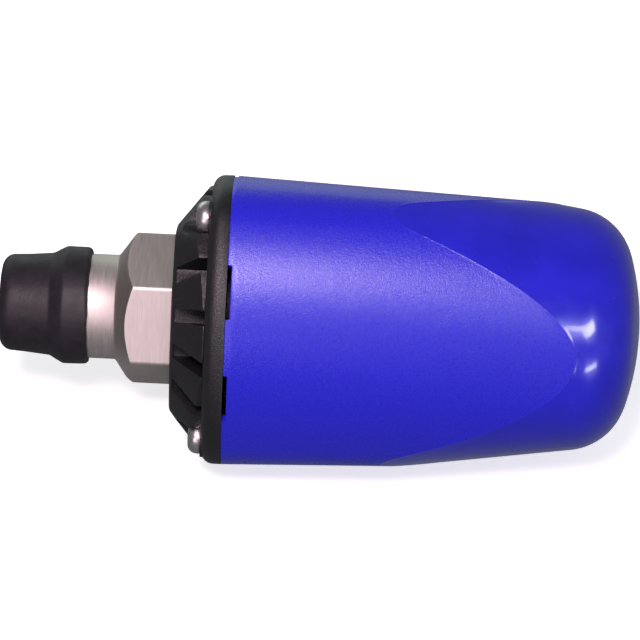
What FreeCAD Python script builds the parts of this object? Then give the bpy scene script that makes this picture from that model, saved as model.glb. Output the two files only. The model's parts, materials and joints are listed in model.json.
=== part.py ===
import FreeCAD, Part
import math
import os
import re
import Sketcher
from FreeCAD import Placement, Rotation, Vector

# A pneumatic exhaust muffler with a G1 male thread. Its axis is the X axis: the thread points to -X,
# the domed bell to +X, and the origin is the centre of the sealing shoulder at the root of the thread.
# Every cross-section of the body is a rounded triangle with one lobe up and one flat side down.

SIZES = [
    # Threaded fitting
    ("thread_radius", 16.62, "half the major diameter of a G1 thread"),
    ("thread_length", 15, "thread end to shoulder"),
    ("bore_radius", 12.5, "air passage through the fitting"),
    ("neck_radius", 19.3, "sealing collar beside the thread"),
    ("neck_length", 19.9, "shoulder to the foot of the cone"),
    ("hex_flats", 50, "width across the wrench flats"),
    ("hex_end", 40.9, "shoulder to the face that clamps the collar"),
    ("cone_length", 6.7, "cone between the neck and the hexagon's corners"),
    ("spigot_radius", 18, "threaded spigot inside the collar"),
    ("spigot_end", 66, "shoulder to the inner end of the spigot"),
    ("socket_depth", 6, "socket in the spigot's end for the diffuser tube"),
    ("thread_chamfer", 1.4, "lead-in of the thread"),
    ("port_ring", 18, "port seal, axis to the middle of its cord"),
    ("port_groove", 1.3, "depth of the port seal's groove"),
    ("collar_ring", 20.2, "collar seal, axis to the middle of its cord"),
    ("collar_groove", 1.85, "depth of the collar seal's groove"),
    # Lock washer and lock nut
    ("washer_radius", 25.5, "lock washer"),
    ("washer_wall", 1.5, "lock washer"),
    ("nut_flats", 46, "lock nut"),
    ("nut_length", 8, "lock nut"),
    # Lobed outline, at the plane where collar and bell meet
    ("joint_place", 61, "shoulder to the joint between collar and bell"),
    ("flat_height", 49.7, "axis to the middle of a flat side"),
    ("lobe_height", 57, "axis to the tip of a lobe"),
    ("lobe_centre", 33.5, "axis to the centre of a lobe's arc"),
    # Collar
    ("rim_length", 7.4, "solid rim beside the bell"),
    ("rim_wall", 6.5, "rim thickness"),
    ("rim_round", 4.4, "rounding of the rim's front edge"),
    ("slope_inset", 2.8, "sloping front's inset from the outline where it meets the rim"),
    ("front_radius", 46.5, "round outline that the sloping front keeps to"),
    ("front_round", 3.2, "rounding of the collar's front edge"),
    ("window_width", 5.6, "exhaust window"),
    ("window_start", 42.2, "shoulder to the windows"),
    ("hub_inset", 19.2, "hub wall inset from the outline"),
    ("hub_wall", 2.2, "hub wall thickness"),
    ("web_length", 5, "plate that the fitting clamps"),
    ("back_end", 59, "shoulder to the back of the sloping front"),
    # Bell
    ("bell_length", 151.7, "joint to the tip of the dome"),
    ("bell_draft", 2.09, "draft of the lobed sides, degrees"),
    ("bell_wall", 3, "moulded wall"),
    ("cone_radius", 63.3, "radius of the glossy cone at the joint plane"),
    ("cone_slope", 0.1445, "fall of that radius for each millimetre"),
    ("dome_corner", 23, "radius where cone and crown meet"),
    ("crown_radius", 97, "radius of the dome's crown"),
    ("notch_depth", 1.5, "drain notch in the bell's mouth"),
    ("notch_width", 19, "drain notch across"),
    # Screws and inserts
    ("screw_pitch", 47.9, "axis to each screw"),
    ("screw_seat", 53.2, "shoulder to the seat under a screw head"),
    ("screw_radius", 2.9, "shank of an M6 screw"),
    ("screw_length", 22, "shank length"),
    ("head_radius", 6, "pan head"),
    ("head_height", 4.7, "pan head"),
    ("recess_depth", 2.6, "cross recess"),
    ("recess_arm", 3.3, "axis to the end of the cross's arms"),
    ("recess_half", 0.65, "half the width of an arm"),
    ("boss_radius", 7.2, "screw boss of the collar"),
    ("insert_radius", 4, "brass insert, outside"),
    ("insert_length", 10, "brass insert"),
    ("insert_boss", 6.3, "insert boss in the bell"),
    # Internals
    ("diffuser_radius", 13.9, "perforated inner tube, outside"),
    ("diffuser_end", 166, "shoulder to the tube's far end"),
    ("baffle_radius", 30, "perforated outer sleeve, outside"),
    ("sheet_wall", 1.2, "sheet metal of both sleeves"),
    ("hole_radius", 2.2, "perforation"),
    ("absorber_start", 67, "shoulder to the absorbers"),
    ("plate_place", 168, "shoulder to the rear plate"),
    ("plate_wall", 2, "rear plate"),
    ("plate_radius", 41, "rear plate"),
    ("stud_radius", 4, "stud of the diffuser plug, M8"),
    ("stud_length", 14, "stud past the plate's front"),
    ("end_nut_flats", 13, "nut on the stud"),
    ("end_nut_length", 6.5, "nut on the stud"),
    ("inner_outside", 24, "inner absorber, outside"),
    ("outer_outside", 41, "outer absorber, outside"),
    ("clamp_length", 6, "bands around the inner absorber"),
    ("pad_radius", 36, "foam pad in the dome"),
    ("pad_length", 10, "foam pad in the dome"),
    # Protective cap
    ("cap_end", 23, "shoulder to the cap's closed end"),
    ("cap_bore", 17.25, "inside radius over the thread"),
    ("cap_lip", 19.5, "inside radius of the lip"),
    ("cap_bulge", 21.85, "outside radius of the lip"),
    ("cap_mouth", 10.3, "shoulder to the cap's open edge"),
]
LOBES = [90, 210, 330]              # degrees from +Y towards +Z
FLATS = [30, 150, 270]
WINDOWS = [90 + 24 * step for step in range(15) if step % 5]
ALONG_X = Rotation(Vector(0, 1, 0), 90)          # turns a primitive's own Z onto X
ACROSS_X = Rotation(Vector(1, 1, 1), 120)        # turns a sketch's X and Y onto Y and Z

doc = FreeCAD.newDocument("PneumaticMuffler")
sheet = doc.addObject("Spreadsheet::Sheet", "Sizes")
for row, (alias, number, meaning) in enumerate(SIZES, start=1):
    sheet.set(f"A{row}", meaning)
    sheet.set(f"B{row}", str(number))
    sheet.setAlias(f"B{row}", alias)
doc.recompute()
ALIASES = {alias for alias, number, meaning in SIZES}
subparts = []


# ---------------------------------------------------------------- small helpers

def sized(text):
    """An expression with each driving dimension's name turned into a reference to the sheet."""
    return re.sub(r"[a-z_]+", lambda word: "Sizes." + word[0] if word[0] in ALIASES else word[0], str(text))


def value(text):
    return float(sheet.evalExpression(sized(text)))


def bind(item, expressions):
    for place, text in expressions.items():
        item.setExpression(place, sized(text))
    return item


def subpart(label, item):
    """Names the finished object of a sub-part, and lists it for export."""
    item.Label = label
    subparts.append(item)
    return item


def cylinder(name, start, length, radius, angle=0, pitch="0"):
    """A cylinder along X, on the axis or at a pitch radius from it."""
    item = doc.addObject("Part::Cylinder", name)
    item.Placement = Placement(Vector(), ALONG_X)
    return bind(item, {
        "Radius": radius,
        "Height": length,
        "Placement.Base.x": start,
        "Placement.Base.y": f"({pitch}) * cos({angle} deg)",
        "Placement.Base.z": f"({pitch}) * sin({angle} deg)",
    })


def cut(name, base, tool):
    item = doc.addObject("Part::Cut", name)
    item.Base = base
    item.Tool = tool
    return item


def fuse(name, shapes):
    item = doc.addObject("Part::MultiFuse", name)
    item.Shapes = shapes
    return item


def common(name, shapes):
    item = doc.addObject("Part::MultiCommon", name)
    item.Shapes = shapes
    return item


def ring(name, start, length, outer, inner, angle=0, pitch="0"):
    wall = cylinder(name + "Outside", start, length, outer, angle, pitch)
    hole = cylinder(name + "Inside", start, length, inner, angle, pitch)
    return cut(name, wall, hole)


def radial_box(name, start, length, width, near, far, angle):
    """A plate that stands out from the axis at an angle, between two radii."""
    item = doc.addObject("Part::Box", name)
    turn = angle - 90
    item.Placement = Placement(Vector(), Rotation(Vector(1, 0, 0), turn))
    return bind(item, {
        "Length": length,
        "Width": width,
        "Height": f"({far}) - ({near})",
        "Placement.Base.x": start,
        "Placement.Base.y": f"-({width}) / 2 * cos({turn} deg) - ({near}) * sin({turn} deg)",
        "Placement.Base.z": f"-({width}) / 2 * sin({turn} deg) + ({near}) * cos({turn} deg)",
    })


def hexagon(name, start, length, flats, corner_angle):
    """A hexagonal bar along X with one corner at an angle from +Y towards +Z."""
    item = doc.addObject("Part::Prism", name)
    item.Polygon = 6
    item.Placement = Placement(Vector(), Rotation(Vector(1, 0, 0), corner_angle + 90) * ALONG_X)
    return bind(item, {
        "Circumradius": f"({flats}) / sqrt(3)",
        "Height": length,
        "Placement.Base.x": start,
    })


def torus(name, place, ring_radius, cord_radius):
    item = doc.addObject("Part::Torus", name)
    item.Placement = Placement(Vector(), ALONG_X)
    return bind(item, {"Radius1": ring_radius, "Radius2": cord_radius, "Placement.Base.x": place})


# ---------------------------------------------------------------- sketches

def fix_point(sketch, geometry, point, along, across):
    """Ties one point of a sketch to two expressions, measured from the sketch's origin."""
    for kind, text in (("DistanceX", along), ("DistanceY", across)):
        index = sketch.addConstraint(Sketcher.Constraint(kind, -1, 1, geometry, point, value(text)))
        sketch.setExpression(f"Constraints[{index}]", sized(text))


def fix_radius(sketch, geometry, text):
    index = sketch.addConstraint(Sketcher.Constraint("Radius", geometry, value(text)))
    sketch.setExpression(f"Constraints[{index}]", sized(text))


def join(sketch, kind, first, first_end, second, second_end):
    sketch.addConstraint(Sketcher.Constraint(kind, first, first_end, second, second_end))


def end_at(sketch, geometry, place):
    """Which end of a curve, 1 or 2, lies at a place."""
    return 1 if sketch.getPoint(geometry, 1).distanceToPoint(place) < 1e-4 else 2


def outline(sketch, corners):
    """A closed outline: each corner is (along, across) or (along, across, rounding radius)."""
    places = [Vector(value(corner[0]), value(corner[1]), 0) for corner in corners]
    count = len(corners)
    starts, ends, centres = [], [], []
    for index, corner in enumerate(corners):
        here = places[index]
        back = (places[index - 1] - here).normalize()
        ahead = (places[(index + 1) % count] - here).normalize()
        radius = value(corner[2]) if len(corner) == 3 else 0
        half = back.getAngle(ahead) / 2
        starts.append(here + back * (radius / math.tan(half)))
        ends.append(here + ahead * (radius / math.tan(half)))
        middle = (back + ahead).normalize() if radius else Vector()
        centres.append((here + middle * (radius / math.sin(half)), middle * -radius))
    lines = []
    for index in range(count):
        following = (index + 1) % count
        lines.append(sketch.addGeometry(Part.LineSegment(ends[index], starts[following])))
    for index, corner in enumerate(corners):
        before, after = lines[index - 1], lines[index]
        if len(corner) == 2:
            join(sketch, "Coincident", before, 2, after, 1)
            fix_point(sketch, after, 1, corner[0], corner[1])
            continue
        centre, to_crest = centres[index]
        arc = sketch.addGeometry(Part.Arc(starts[index], centre + to_crest, ends[index]))
        sharp = sketch.addGeometry(Part.Point(places[index]), True)
        join(sketch, "Tangent", before, 2, arc, end_at(sketch, arc, starts[index]))
        join(sketch, "Tangent", after, 1, arc, end_at(sketch, arc, ends[index]))
        fix_radius(sketch, arc, corner[2])
        sketch.addConstraint(Sketcher.Constraint("PointOnObject", sharp, 1, before))
        sketch.addConstraint(Sketcher.Constraint("PointOnObject", sharp, 1, after))
        fix_point(sketch, sharp, 1, corner[0], corner[1])
    return sketch


def turned(name, corners):
    """A solid turned about the X axis from an outline of (along, radius) corners."""
    profile = outline(doc.addObject("Sketcher::SketchObject", name + "Profile"), corners)
    return turned_from(name, profile)


def turned_from(name, profile):
    item = doc.addObject("Part::Revolution", name)
    item.Source = profile
    item.Axis = Vector(1, 0, 0)
    item.Angle = 360
    item.Solid = True
    return item


def lobed_sketch(name, place, inset):
    """The rounded triangle across X: three flat arcs and three lobe arcs, each tangent to the next."""
    sketch = doc.addObject("Sketcher::SketchObject", name)
    sketch.Placement = Placement(Vector(), ACROSS_X)
    bind(sketch, {"Placement.Base.x": place})
    swell = "(lobe_height - flat_height)"
    flat_offset = f"(({swell} * (2 * lobe_centre - {swell})) / (lobe_centre - 2 * {swell}))"
    flat_radius = f"flat_height + {flat_offset} - ({inset})"
    lobe_radius = f"lobe_height - lobe_centre - ({inset})"
    half_turn = math.atan2(
        value("lobe_centre") * math.sin(math.radians(60)),
        value(f"lobe_centre * 0.5 + {flat_offset}"),
    )
    arcs = []
    for flat, lobe in zip(FLATS, LOBES):
        towards = math.radians(flat)
        centre = Vector(math.cos(towards), math.sin(towards), 0) * -value(flat_offset)
        circle = Part.Circle(centre, Vector(0, 0, 1), value(flat_radius))
        arc = Part.ArcOfCircle(circle, towards - half_turn, towards + half_turn)
        arcs.append(sketch.addGeometry(arc))
        fix_radius(sketch, arcs[-1], flat_radius)
        fix_point(sketch, arcs[-1], 3, *(f"-{flat_offset} * {part}({flat} deg)" for part in ("cos", "sin")))
        upwards = math.radians(lobe)
        tip = Vector(math.cos(upwards), math.sin(upwards), 0) * value("lobe_centre")
        circle = Part.Circle(tip, Vector(0, 0, 1), value(lobe_radius))
        reach = math.radians(60) - half_turn
        arcs.append(sketch.addGeometry(Part.ArcOfCircle(circle, upwards - reach, upwards + reach)))
        fix_radius(sketch, arcs[-1], lobe_radius)
    for index, arc in enumerate(arcs):
        join(sketch, "Tangent", arc, 2, arcs[(index + 1) % len(arcs)], 1)
    return sketch


def lobed_solid(name, place, length, inset, taper=None):
    """A lobed prism along X. A positive taper widens it away from its sketch."""
    item = doc.addObject("Part::Extrusion", name)
    item.Base = lobed_sketch(name + "Outline", place, inset)
    item.DirMode = "Custom"
    item.Dir = Vector(1, 0, 0)
    item.Solid = True
    bind(item, {"LengthFwd": length})
    if taper:
        bind(item, {"TaperAngle": taper})
    return item


def dome_sketch(name, inset):
    """Half the profile of the glossy body: a straight cone, a corner arc and a crown arc to the axis."""
    sketch = doc.addObject("Sketcher::SketchObject", name)
    edge = f"cone_radius - ({inset}) * sqrt(1 + cone_slope ^ 2)"
    tip_text = f"joint_place + bell_length - ({inset})"
    corner_text = f"dome_corner - ({inset})"
    crown_text = f"crown_radius - ({inset})"
    slope = value("cone_slope")
    mouth = Vector(value("joint_place"), value(edge), 0)
    tip = Vector(value(tip_text), 0, 0)
    crown_centre = tip - Vector(value(crown_text), 0, 0)
    down = Vector(1, -slope, 0).normalize()
    inward = Vector(down.y, -down.x, 0)
    # The corner's centre is one corner radius inside the cone, and inside the crown by the same.
    track = mouth + inward * value(corner_text) - crown_centre
    reach = value(crown_text) - value(corner_text)
    ahead = -track.dot(down) + math.sqrt(track.dot(down) ** 2 - track.dot(track) + reach ** 2)
    corner_centre = crown_centre + track + down * ahead
    cone_end = corner_centre - inward * value(corner_text)
    outward = (corner_centre - crown_centre).normalize()
    crown_end = corner_centre + outward * value(corner_text)
    between = (outward - inward).normalize()
    corner_crest = corner_centre + between * value(corner_text)
    middle = (outward + Vector(1, 0, 0)).normalize()
    crown_crest = crown_centre + middle * value(crown_text)
    root = Vector(mouth.x, 0, 0)
    wall = sketch.addGeometry(Part.LineSegment(mouth, cone_end))
    corner = sketch.addGeometry(Part.Arc(cone_end, corner_crest, crown_end))
    crown = sketch.addGeometry(Part.Arc(crown_end, crown_crest, tip))
    axis = sketch.addGeometry(Part.LineSegment(tip, root))
    face = sketch.addGeometry(Part.LineSegment(root, mouth))
    join(sketch, "Tangent", wall, 2, corner, end_at(sketch, corner, cone_end))
    join(sketch, "Tangent", corner, end_at(sketch, corner, crown_end),
         crown, end_at(sketch, crown, crown_end))
    join(sketch, "Coincident", crown, end_at(sketch, crown, tip), axis, 1)
    join(sketch, "Coincident", axis, 2, face, 1)
    join(sketch, "Coincident", face, 2, wall, 1)
    fix_point(sketch, wall, 1, "joint_place", edge)
    fix_point(sketch, axis, 2, "joint_place", "0")
    fix_point(sketch, axis, 1, tip_text, "0")
    fix_radius(sketch, corner, corner_text)
    fix_radius(sketch, crown, crown_text)
    sketch.addConstraint(Sketcher.Constraint("PointOnObject", crown, 3, -1))
    index = sketch.addConstraint(Sketcher.Constraint("Angle", wall, -math.atan(slope)))
    sketch.setExpression(f"Constraints[{index}]", sized("-atan(cone_slope)"))
    return sketch


def body_sketch(body, name, plane):
    """A sketch on one of a body's own origin planes."""
    sketch = body.newObject("Sketcher::SketchObject", name)
    role = [item for item in body.Origin.OriginFeatures if item.Role == plane]
    sketch.AttachmentSupport = [(role[0], "")]
    sketch.MapMode = "FlatFace"
    return sketch


def perforated_tube(label, start, length, outer, rows, around):
    """A sheet-metal tube with rows of round holes through its wall."""
    body = doc.addObject("PartDesign::Body", label)
    section = body_sketch(body, label + "Section", "YZ_Plane")
    bind(section, {"AttachmentOffset.Base.z": start})
    for radius in (outer, f"{outer} - sheet_wall"):
        circle = section.addGeometry(Part.Circle(Vector(), Vector(0, 0, 1), value(radius)))
        fix_radius(section, circle, radius)
        join(section, "Coincident", circle, 3, -1, 1)
    wall = body.newObject("PartDesign::Pad", label + "Wall")
    wall.Profile = section
    bind(wall, {"Length": length})
    row = body_sketch(body, label + "Row", "XY_Plane")
    for step in range(rows):
        place = f"{start} + ({length}) * {(step + 1) / (rows + 1):.4f}"
        centre = Vector(value(place), 0, 0)
        circle = row.addGeometry(Part.Circle(centre, Vector(0, 0, 1), value("hole_radius")))
        fix_radius(row, circle, "hole_radius")
        fix_point(row, circle, 3, place, "0")
    holes = body.newObject("PartDesign::Pocket", label + "Holes")
    holes.Profile = row
    holes.Reversed = True
    bind(holes, {"Length": f"{outer} + sheet_wall"})
    pattern = body.newObject("PartDesign::PolarPattern", label + "Pattern")
    pattern.Originals = [holes]
    pattern.Axis = (body.Origin.OriginFeatures[0], [""])
    pattern.Angle = 360
    pattern.Occurrences = around
    body.Tip = pattern
    return subpart(label, body)


# ---------------------------------------------------------------- threaded fitting and its seals

def make_fitting():
    """One turned bar: thread, neck, cone, hexagon and inner spigot, with the air bore through it."""
    corner = "hex_flats / sqrt(3)"
    socket = "diffuser_radius + 0.05"
    bar = turned("FittingBar", [
        ("-thread_length", "bore_radius"),
        ("-thread_length", "thread_radius - thread_chamfer"),
        ("thread_chamfer - thread_length", "thread_radius"),
        ("0", "thread_radius"),
        ("0", "neck_radius", "0.6"),
        ("neck_length", "neck_radius"),
        ("neck_length + cone_length", corner),
        ("hex_end", corner),
        ("hex_end", "spigot_radius"),
        ("spigot_end", "spigot_radius"),
        ("spigot_end", socket),
        ("spigot_end - socket_depth", socket),
        ("spigot_end - socket_depth", "bore_radius"),
    ])
    hex_length = "hex_end - neck_length"
    jacket = cylinder("HexJacket", "neck_length", hex_length, corner + " + 4")
    flats = hexagon("HexBar", "neck_length", hex_length, "hex_flats", 0)
    hexed = cut("HexedBar", bar, cut("HexWaste", jacket, flats))
    port_groove = ring("PortGroove", "0", "port_groove", "port_ring + 0.7", "port_ring - 0.7")
    collar_groove = ring("CollarGroove", "hex_end - collar_groove", "collar_groove",
                         "collar_ring + 1", "collar_ring - 1")
    subpart("fitting", cut("Fitting", hexed, fuse("SealGrooves", [port_groove, collar_groove])))
    subpart("port_seal", torus("PortSeal", "port_groove / 2", "port_ring", "0.62"))
    subpart("collar_seal", torus("CollarSeal", "hex_end - 0.92", "collar_ring", "0.9"))


def make_locking():
    """The tooth washer and nut that hold the collar's web against the hexagon."""
    washer_place = "hex_end + web_length"
    washer = ring("LockWasher", washer_place, "washer_wall", "washer_radius", "spigot_radius + 0.1")
    subpart("lock_washer", washer)
    nut_place = washer_place + " + washer_wall"
    nut = hexagon("NutBar", nut_place, "nut_length", "nut_flats", 0)
    thread = cylinder("NutBore", nut_place, "nut_length", "spigot_radius + 0.05")
    subpart("lock_nut", cut("LockNut", nut, thread))


# ---------------------------------------------------------------- collar

def make_collar():
    """Hub and sloping solid front with twelve exhaust windows, rim, and three recessed screw seats."""
    rim_place = "joint_place - rim_length"
    rim_block = lobed_solid("RimBlock", rim_place, "rim_length", "0")
    slope_length = f"{rim_place} - hex_end"
    slope_angle = f"atan((hub_inset - slope_inset) / ({slope_length}))"
    slope_block = lobed_solid("SlopeBlock", "hex_end", slope_length, "hub_inset", slope_angle)
    doc.recompute()
    rim = rounded_front("RoundedRim", rim_block, "rim_round")
    lobed_slope = rounded_front("RoundedSlope", slope_block, "front_round")
    slope = common("Slope", [lobed_slope, cylinder("SlopeLimit", "hex_end", slope_length, "front_radius")])
    rim_hole = lobed_solid("RimHole", rim_place + " - 1", "rim_length + 2", "rim_wall")
    back = lobed_solid("SlopeBack", rim_place, f"back_end - ({rim_place})", "rim_wall - 1")

    windows = [
        radial_box(f"Window{angle}", "window_start", "joint_place - window_start", "window_width",
                   "24", "60", angle)
        for angle in WINDOWS
    ]
    front = cut("WindowedFront", fuse("FrontBlocks", [slope, back]), fuse("Windows", windows))
    hub = lobed_solid("Hub", "window_start", "joint_place - window_start", "hub_inset")

    bosses, openings = [], []
    boss_length = "joint_place - screw_seat"
    for angle in LOBES:
        bosses.append(cylinder(f"ScrewBoss{angle}", "screw_seat", boss_length, "boss_radius",
                               angle, "screw_pitch"))
        openings.append(cylinder(f"HeadRecess{angle}", "window_start", "screw_seat - window_start",
                                 "head_radius + 0.6", angle, "screw_pitch"))
        openings.append(cylinder(f"ScrewHole{angle}", "screw_seat - 1", boss_length + " + 2",
                                 "screw_radius + 0.4", angle, "screw_pitch"))
    openings.append(lobed_solid("HubHole", "hex_end + web_length", "joint_place - hex_end",
                                "hub_inset + hub_wall"))
    openings.append(cylinder("WebHole", "hex_end - 1", "web_length + 2", "spigot_radius + 0.1"))
    solid = fuse("CollarSolid", [cut("RimRing", rim, rim_hole), hub, front] + bosses)
    subpart("collar", cut("Collar", solid, fuse("CollarOpenings", openings)))


def rounded_front(name, block, radius):
    """The same block with the edges of its front face rounded."""
    item = doc.addObject("Part::Fillet", name)
    item.Base = block
    front = block.Shape.BoundBox.XMin
    item.Edges = [
        (number, value(radius), value(radius))
        for number, edge in enumerate(block.Shape.Edges, start=1)
        if edge.BoundBox.XMax < front + 0.01
    ]
    return item


def make_exhaust_screen():
    """A slotted plate behind the windows, clear of the screw bosses."""
    length = "1.2"
    place = "back_end + 0.2"
    plate = lobed_solid("ScreenPlate", place, length, "rim_wall + 0.2")
    openings = [lobed_solid("ScreenHole", place + " - 1", length + " + 2", "hub_inset - 0.2")]
    for angle in range(0, 360, 6):
        if min(abs(angle - lobe) for lobe in LOBES) > 10:
            openings.append(radial_box(f"Slot{angle}", place + " - 1", length + " + 2",
                                       "2.2", "33.5", "41", angle))
    for angle in LOBES:
        openings.append(cylinder(f"BossGap{angle}", place + " - 1", length + " + 2",
                                 "boss_radius + 0.2", angle, "screw_pitch"))
    subpart("exhaust_screen", cut("ExhaustScreen", plate, fuse("ScreenOpenings", openings)))


# ---------------------------------------------------------------- bell

def bell_form(name, inset):
    """The lobed, drafted prism where it lies inside the glossy cone and dome."""
    draft = lobed_solid(name + "Prism", "joint_place", "bell_length + 5", inset, "-bell_draft")
    return common(name, [draft, turned_from(name + "Dome", dome_sketch(name + "DomeProfile", inset))])


def make_bell():
    outside = bell_form("BellOutside", "0")
    inside = bell_form("BellInside", "bell_wall")
    shell = cut("BellShell", outside, inside)
    bosses, openings = [], []
    for angle in LOBES:
        bosses.append(cylinder(f"InsertBoss{angle}", "joint_place", "17", "insert_boss",
                               angle, "screw_pitch"))
        openings.append(cylinder(f"InsertSeat{angle}", "joint_place - 1", "insert_length + 1.2",
                                 "insert_radius + 0.03", angle, "screw_pitch"))
        openings.append(cylinder(f"ScrewTip{angle}", "joint_place - 1", "16", "screw_radius + 0.4",
                                 angle, "screw_pitch"))
    for flat in FLATS:
        for side in (-23, 23):
            openings.append(radial_box(f"Notch{flat + side}", "joint_place - 1", "notch_depth + 1",
                                       "notch_width", "43", "62", flat + side))
    subpart("bell", cut("Bell", fuse("BellSolid", [shell] + bosses), fuse("BellOpenings", openings)))


# ---------------------------------------------------------------- screws and inserts

def make_screw(number, angle):
    """A pan-head screw with a cross recess, seated on the collar and driven into the bell."""
    label = f"screw_{number}"
    body = doc.addObject("PartDesign::Body", f"Screw{number}")
    profile = outline(body_sketch(body, f"Screw{number}Profile", "XY_Plane"), [
        ("-head_height", "0"),
        ("-head_height", "head_radius", "3.4"),
        ("0", "head_radius"),
        ("0", "screw_radius"),
        ("screw_length - 1", "screw_radius"),
        ("screw_length", "screw_radius - 1"),
        ("screw_length", "0"),
    ])
    turn = body.newObject("PartDesign::Revolution", f"Screw{number}Turn")
    turn.Profile = profile
    turn.ReferenceAxis = (profile, ["H_Axis"])
    turn.Angle = 360
    cross = body_sketch(body, f"Screw{number}Cross", "YZ_Plane")
    bind(cross, {"AttachmentOffset.Base.z": "-head_height"})
    recess = body.newObject("PartDesign::Pocket", f"Screw{number}Recess")
    recess.Profile = outline(cross, [
        ("recess_arm", "-recess_half"),
        ("recess_arm", "recess_half"),
        ("recess_half", "recess_half"),
        ("recess_half", "recess_arm"),
        ("-recess_half", "recess_arm"),
        ("-recess_half", "recess_half"),
        ("-recess_arm", "recess_half"),
        ("-recess_arm", "-recess_half"),
        ("-recess_half", "-recess_half"),
        ("-recess_half", "-recess_arm"),
        ("recess_half", "-recess_arm"),
        ("recess_half", "-recess_half"),
    ])
    recess.Reversed = True
    bind(recess, {"Length": "recess_depth"})
    body.Tip = recess
    bind(body, {
        "Placement.Base.x": "screw_seat",
        "Placement.Base.y": f"screw_pitch * cos({angle} deg)",
        "Placement.Base.z": f"screw_pitch * sin({angle} deg)",
    })
    subpart(label, body)


def make_insert(number, angle):
    insert = ring(f"Insert{number}", "joint_place + 0.1", "insert_length",
                  "insert_radius", "screw_radius + 0.1", angle, "screw_pitch")
    subpart(f"insert_{number}", insert)


# ---------------------------------------------------------------- sound-absorbing internals

def make_internals():
    """Air leaves the bore through the diffuser, both absorbers and the sleeve, then turns back."""
    tube_start = "spigot_end - socket_depth"
    perforated_tube("diffuser_tube", tube_start, f"diffuser_end - ({tube_start})", "diffuser_radius", 9, 8)
    sleeve_start = "joint_place + 2.1"
    sleeve_length = f"plate_place - 0.1 - ({sleeve_start})"
    perforated_tube("baffle_sleeve", sleeve_start, sleeve_length, "baffle_radius", 9, 14)
    subpart("front_ring", turned("FrontRing", [
        ("joint_place", "spigot_radius + 0.1"),
        ("joint_place", "baffle_radius + 1.3"),
        ("joint_place + 6", "baffle_radius + 1.3"),
        ("joint_place + 6", "baffle_radius + 0.1"),
        ("joint_place + 2", "baffle_radius + 0.1"),
        ("joint_place + 2", "spigot_radius + 0.1"),
    ]))
    plug_radius = "diffuser_radius - sheet_wall - 0.05"
    subpart("diffuser_plug", turned("DiffuserPlug", [
        ("diffuser_end - 6", "0"),
        ("diffuser_end - 6", plug_radius),
        ("diffuser_end", plug_radius),
        ("diffuser_end", "diffuser_radius + 0.6"),
        ("plate_place", "diffuser_radius + 0.6"),
        ("plate_place", "stud_radius"),
        ("plate_place + stud_length", "stud_radius"),
        ("plate_place + stud_length", "0"),
    ]))
    plate = ring("RearPlate", "plate_place", "plate_wall", "plate_radius", "stud_radius + 0.2")
    subpart("rear_plate", plate)
    nut_place = "plate_place + plate_wall"
    nut = hexagon("EndNutBar", nut_place, "end_nut_length", "end_nut_flats", 0)
    thread = cylinder("EndNutBore", nut_place, "end_nut_length", "stud_radius + 0.05")
    subpart("end_nut", cut("EndNut", nut, thread))
    absorber_length = "plate_place - 2 - absorber_start"
    subpart("inner_absorber", ring("InnerAbsorber", "absorber_start", absorber_length,
                                   "inner_outside", "diffuser_radius + 0.7"))
    subpart("outer_absorber", ring("OuterAbsorber", "absorber_start", absorber_length,
                                   "outer_outside", "baffle_radius + 4"))
    for name, place in (("front", "absorber_start + 5"), ("rear", "plate_place - 14")):
        subpart(f"clamp_{name}", ring(f"Clamp{name.title()}", place, "clamp_length",
                                      "inner_outside + 0.9", "inner_outside + 0.1"))
    pad_place = "plate_place + stud_length + 1"
    subpart("end_pad", cylinder("EndPad", pad_place, "pad_length", "pad_radius"))


# ---------------------------------------------------------------- protective cap

def make_cap():
    """A thin moulded cap: a snug cup over the thread and a wider lip over the neck."""
    subpart("thread_cap", turned("ThreadCap", [
        ("-cap_end", "0"),
        ("-cap_end", "cap_bore + 0.4", "4.5"),
        ("-14", "cap_bore + 0.95"),
        ("-4.5", "cap_bore + 1.8"),
        ("0.5", "cap_bulge", "3"),
        ("cap_mouth", "cap_bulge", "1.6"),
        ("cap_mouth", "cap_lip"),
        ("-0.3", "cap_lip"),
        ("-0.3", "cap_bore"),
        ("-thread_length - 1", "cap_bore"),
        ("-thread_length - 1.8", "cap_bore - 1.4"),
        ("2 - cap_end", "cap_bore - 1.8", "3"),
        ("2 - cap_end", "0"),
    ]))


# ---------------------------------------------------------------- assembly, checks and export

make_cap()
make_fitting()
make_locking()
make_collar()
make_exhaust_screen()
make_bell()
for number, angle in enumerate(LOBES, start=1):
    make_screw(number, angle)
    make_insert(number, angle)
make_internals()
doc.recompute()

for item in doc.Objects:
    if {"Invalid", "Error"} & set(item.State):
        raise RuntimeError(f"{item.Name} did not recompute: {item.State}")
for item in subparts:
    if item.Shape.isNull() or not item.Shape.isValid():
        raise RuntimeError(f"{item.Label} has no valid shape")

os.makedirs("parts", exist_ok=True)
for item in subparts:
    item.Shape.exportStep(f"parts/{item.Label}.step")
    print(f"{item.Label}: {item.Shape.Volume / 1000:.2f} cm3, {len(item.Shape.Solids)} solid")
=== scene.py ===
import json
import math

import bmesh
import bpy
import numpy as np
from mathutils import Matrix, Vector, noise


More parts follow.
